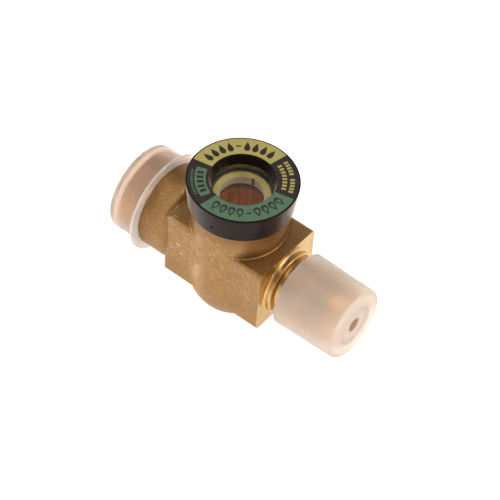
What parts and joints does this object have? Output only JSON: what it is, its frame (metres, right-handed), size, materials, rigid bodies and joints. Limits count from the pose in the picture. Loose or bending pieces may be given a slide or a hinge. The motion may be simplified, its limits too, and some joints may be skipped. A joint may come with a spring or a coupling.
{
  "type": "refrigerant line sight glass",
  "caption": "Brass sight glass with a round window over a moisture indicator, a male flare end, a threaded socket end, a turning bezel and push-on shipping caps.",
  "frame": {"origin": "where the pipe axis crosses the window axis, inside the flow bore", "axes": "+X along the pipe axis out of the male flare end, +Z along the window axis out of the window"},
  "size_m": [0.0817, 0.033, 0.0462],
  "materials": {
    "forged_brass": "sandblasted forging with machined ends",
    "holder_steel": "turned, nickel plated",
    "gasket_white": "fluoropolymer",
    "window_glass": "clear fused glass",
    "indicator_paper": "yellow, matte",
    "carrier_white": "off-white",
    "clip_steel": "spring steel",
    "bezel_black": "satin moulded black",
    "label_print": "printed yellow, green and black sectors",
    "gasket_copper": "annealed copper",
    "cap_plastic": "translucent frosted polyethylene"
  },
  "bodies": {
    "fitting": {"body": "forged_brass", "window_holder": "holder_steel", "holder_gasket": "gasket_white", "sight_window": "window_glass", "indicator_ring": "indicator_paper", "indicator_carrier": "carrier_white", "carrier_clip": "clip_steel", "socket_gasket": "gasket_copper"},
    "bezel_ring": {"bezel": "bezel_black", "bezel_label": "label_print"},
    "socket_end_cap": {"socket_cap": "cap_plastic"},
    "flare_end_cap": {"flare_cap": "cap_plastic"}
  },
  "joints": [
    {"name": "bezel_turn", "type": "hinge", "parent": "fitting", "child": "bezel_ring", "pos_m": [0, 0, 0.0255], "axis": [0, 0, 1], "continuous": true},
    {"name": "socket_cap_pull", "type": "slide", "parent": "fitting", "child": "socket_end_cap", "axis": [-1, 0, 0], "range_m": [0, 0.05]},
    {"name": "flare_cap_pull", "type": "slide", "parent": "fitting", "child": "flare_end_cap", "axis": [1, 0, 0], "range_m": [0, 0.05]}
  ]
}
